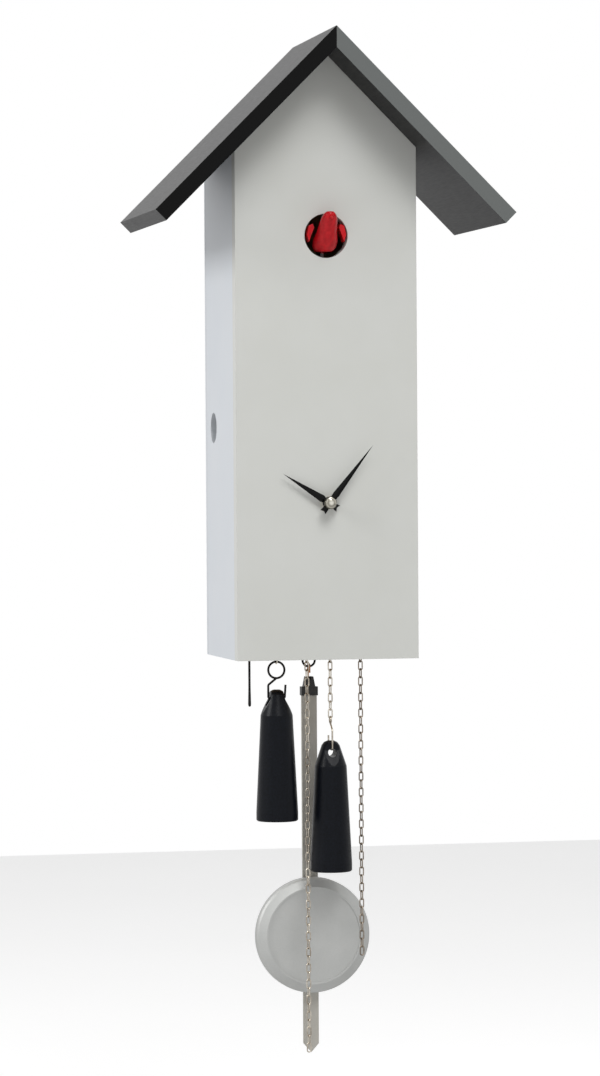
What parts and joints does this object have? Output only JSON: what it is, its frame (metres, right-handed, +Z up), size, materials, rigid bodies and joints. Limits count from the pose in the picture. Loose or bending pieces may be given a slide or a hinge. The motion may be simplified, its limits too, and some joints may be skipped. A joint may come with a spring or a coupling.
{
  "type": "cuckoo clock",
  "caption": "Wall-hung house-shaped cuckoo clock with chains, cone weights, a disc pendulum, two hands and a bird that comes out of a round hole.",
  "frame": {"origin": "centre of the hanging hole at the rear face of the back board", "axes": "+Z up, +X to the right seen from the front, +Y towards the wall"},
  "size_m": [0.2476, 0.1445, 0.702],
  "materials": {
    "grey_lacquer": "light grey satin lacquer on board",
    "raw_wood": "plain planed softwood",
    "brass": "rolled and turned brass",
    "black_lacquer": "black satin lacquer over fine wood grain",
    "steel": "ground steel",
    "dark_steel": "blackened steel wire",
    "cast_iron": "black painted casting",
    "bellows_cloth": "pleated cotton",
    "cuckoo_red": "glossy red paint on carved wood",
    "chain_steel": "nickelled steel wire",
    "hand_black": "gloss black",
    "nut_chrome": "polished nickel",
    "copper_wire": "copper-coloured wire",
    "collar_black": "matt black",
    "rod_silver": "satin silver lacquer",
    "bob_silver": "satin silver lacquer"
  },
  "bodies": {
    "case": {"front_panel": "grey_lacquer", "left_side_panel": "grey_lacquer", "right_side_panel": "grey_lacquer", "bottom_board": "raw_wood", "back_board": "raw_wood", "roof_left_plank": "black_lacquer", "roof_right_plank": "black_lacquer", "glue_blocks": "raw_wood", "steel_screws": "steel", "movement_posts": "brass", "front_plate": "brass", "rear_plate": "brass", "pendulum_cock": "brass", "gong_coil": "dark_steel", "gong_block": "cast_iron", "bellows_tubes": "raw_wood", "left_bellows_cloth": "bellows_cloth", "right_bellows_cloth": "bellows_cloth", "bird_shelf": "raw_wood", "chain_bends": "chain_steel"},
    "door": {"rear_door": "raw_wood"},
    "latch": {"door_latch": "brass"},
    "minute": {"centre_arbor": "steel", "cannon_pinion": "steel", "minute_hand": "hand_black", "hand_nut": "nut_chrome"},
    "centre_wheel": {"centre_gear": "brass"},
    "hour": {"hour_wheel": "brass", "hour_hand": "hand_black"},
    "motion": {"motion_wheel": "brass"},
    "time_great": {"time_great_wheel": "brass"},
    "third": {"third_wheel": "brass"},
    "escape": {"escape_wheel": "brass"},
    "strike_great": {"strike_great_wheel": "brass"},
    "strike_second": {"strike_pin_wheel": "brass"},
    "fan": {"fly": "brass"},
    "time_chain_wheel": {"time_sprocket": "brass"},
    "strike_chain_wheel": {"strike_sprocket": "brass"},
    "left_load": {"left_weight_chain": "chain_steel", "left_hook": "dark_steel", "left_weight": "cast_iron"},
    "left_tail": {"left_free_chain": "chain_steel"},
    "right_load": {"right_weight_chain": "chain_steel", "right_hook": "chain_steel", "right_weight": "cast_iron"},
    "right_tail": {"right_free_chain": "chain_steel"},
    "pendulum": {"pendulum_leader": "dark_steel", "pendulum_hook": "copper_wire", "pendulum_collar": "collar_black", "pendulum_rod": "rod_silver", "pendulum_bob": "bob_silver"},
    "anchor": {"verge": "steel"},
    "hammer": {"gong_hammer": "steel"},
    "left_lid": {"left_bellows_lid": "raw_wood"},
    "right_lid": {"right_bellows_lid": "raw_wood"},
    "carriage": {"bird_carriage": "brass"},
    "cuckoo": {"bird_body": "cuckoo_red"},
    "wing_left": {"left_wing": "cuckoo_red"},
    "wing_right": {"right_wing": "cuckoo_red"},
    "lever": {"night_off_lever": "dark_steel"}
  },
  "joints": [
    {"name": "minute_turn", "type": "hinge", "parent": "case", "child": "minute", "pos_m": [0, -0.108, -0.2234], "axis": [0, 1, 0], "continuous": true},
    {"name": "hour_turn", "type": "hinge", "parent": "case", "child": "hour", "pos_m": [0, -0.108, -0.2234], "axis": [0, 1, 0], "continuous": true},
    {"name": "motion_turn", "type": "hinge", "parent": "case", "child": "motion", "pos_m": [-0.01039, -0.108, -0.2294], "axis": [0, 1, 0], "continuous": true},
    {"name": "centre_wheel_turn", "type": "hinge", "parent": "case", "child": "centre_wheel", "pos_m": [0, -0.108, -0.2234], "axis": [0, 1, 0], "continuous": true},
    {"name": "time_great_turn", "type": "hinge", "parent": "case", "child": "time_great", "pos_m": [0.0189, -0.108, -0.25751], "axis": [0, 1, 0], "continuous": true},
    {"name": "third_turn", "type": "hinge", "parent": "case", "child": "third", "pos_m": [0.0255, -0.108, -0.23288], "axis": [0, 1, 0], "continuous": true},
    {"name": "escape_turn", "type": "hinge", "parent": "case", "child": "escape", "pos_m": [0.01751, -0.108, -0.21575], "axis": [0, 1, 0], "continuous": true},
    {"name": "strike_great_turn", "type": "hinge", "parent": "case", "child": "strike_great", "pos_m": [-0.0189, -0.108, -0.25751], "axis": [0, 1, 0], "continuous": true},
    {"name": "strike_second_turn", "type": "hinge", "parent": "case", "child": "strike_second", "pos_m": [-0.0255, -0.108, -0.23288], "axis": [0, 1, 0], "continuous": true},
    {"name": "fly_turn", "type": "hinge", "parent": "case", "child": "fan", "pos_m": [-0.02878, -0.108, -0.21427], "axis": [0, 1, 0], "continuous": true},
    {"name": "left_weight_drop", "type": "slide", "parent": "case", "child": "left_load", "axis": [0, 0, -1], "range_m": [0, 0.068]},
    {"name": "left_tail_rise", "type": "slide", "parent": "case", "child": "left_tail", "axis": [0, 0, 1], "range_m": [0, 0.068]},
    {"name": "strike_chain_wheel_turn", "type": "hinge", "parent": "case", "child": "strike_chain_wheel", "pos_m": [-0.0189, -0.108, -0.25751], "axis": [0, 1, 0], "range_deg": [-364.13, 0]},
    {"name": "right_weight_drop", "type": "slide", "parent": "case", "child": "right_load", "axis": [0, 0, -1], "range_m": [-0.036, 0.04]},
    {"name": "right_tail_rise", "type": "slide", "parent": "case", "child": "right_tail", "axis": [0, 0, 1], "range_m": [-0.036, 0.04]},
    {"name": "time_chain_wheel_turn", "type": "hinge", "parent": "case", "child": "time_chain_wheel", "pos_m": [0.0189, -0.108, -0.25751], "axis": [0, 1, 0], "range_deg": [-214.2, 192.78]},
    {"name": "pendulum_swing", "type": "hinge", "parent": "case", "child": "pendulum", "pos_m": [0, -0.045, -0.196], "axis": [0, 1, 0], "range_deg": [-4, 4]},
    {"name": "anchor_rock", "type": "hinge", "parent": "case", "child": "anchor", "pos_m": [0, -0.054, -0.196], "axis": [0, 1, 0], "range_deg": [-4, 4]},
    {"name": "hammer_lift", "type": "hinge", "parent": "case", "child": "hammer", "pos_m": [-0.037, -0.054, -0.198], "axis": [0, 1, 0], "range_deg": [-8, 0]},
    {"name": "left_bellows_lift", "type": "hinge", "parent": "case", "child": "left_lid", "pos_m": [-0.044, -0.05, -0.059], "axis": [-1, 0, 0], "range_deg": [0, 12], "deforming": ["left_bellows_cloth"]},
    {"name": "right_bellows_lift", "type": "hinge", "parent": "case", "child": "right_lid", "pos_m": [0.044, -0.05, -0.059], "axis": [-1, 0, 0], "range_deg": [0, 12], "deforming": ["right_bellows_cloth"]},
    {"name": "cuckoo_slide", "type": "slide", "parent": "case", "child": "carriage", "axis": [0, 1, 0], "range_m": [0, 0.028]},
    {"name": "cuckoo_nod", "type": "hinge", "parent": "carriage", "child": "cuckoo", "pos_m": [0, -0.095, -0.066], "axis": [1, 0, 0], "range_deg": [0, 11.2]},
    {"name": "left_wing_flap", "type": "hinge", "parent": "cuckoo", "child": "wing_left", "pos_m": [-0.0086, -0.105, -0.037], "axis": [0, 1, 0], "range_deg": [0, 12]},
    {"name": "right_wing_flap", "type": "hinge", "parent": "cuckoo", "child": "wing_right", "pos_m": [0.0086, -0.105, -0.037], "axis": [0, 1, 0], "range_deg": [-12, 0]},
    {"name": "lever_lift", "type": "slide", "parent": "case", "child": "lever", "axis": [0, 0, 1], "range_m": [0, 0.006]},
    {"name": "rear_door_swing", "type": "hinge", "parent": "case", "child": "door", "pos_m": [-0.0362, -0.003, -0.21], "axis": [0, 0, 1], "range_deg": [0, 95]},
    {"name": "latch_turn", "type": "hinge", "parent": "door", "child": "latch", "pos_m": [0.0302, -0.003, -0.209], "axis": [0, 1, 0], "range_deg": [0, 90]}
  ],
  "couplings": [
    {"joint": "hour_turn", "follows": "minute_turn", "ratio": 0.083333},
    {"joint": "motion_turn", "follows": "minute_turn", "ratio": -0.33333},
    {"joint": "third_turn", "follows": "escape_turn", "ratio": -0.090909},
    {"joint": "time_great_turn", "follows": "escape_turn", "ratio": 0.0081585},
    {"joint": "centre_wheel_turn", "follows": "escape_turn", "ratio": -0.012238},
    {"joint": "strike_second_turn", "follows": "fly_turn", "ratio": -0.090909},
    {"joint": "strike_great_turn", "follows": "fly_turn", "ratio": 0.0081585},
    {"joint": "left_tail_rise", "follows": "left_weight_drop", "ratio": 1},
    {"joint": "strike_chain_wheel_turn", "follows": "left_weight_drop", "rad_per_m": -93.458},
    {"joint": "right_tail_rise", "follows": "right_weight_drop", "ratio": 1},
    {"joint": "time_chain_wheel_turn", "follows": "right_weight_drop", "rad_per_m": -93.458},
    {"joint": "anchor_rock", "follows": "pendulum_swing", "ratio": 1},
    {"joint": "cuckoo_nod", "follows": "cuckoo_slide", "rad_per_m": 6.9813},
    {"joint": "right_wing_flap", "follows": "left_wing_flap", "ratio": -1}
  ]
}
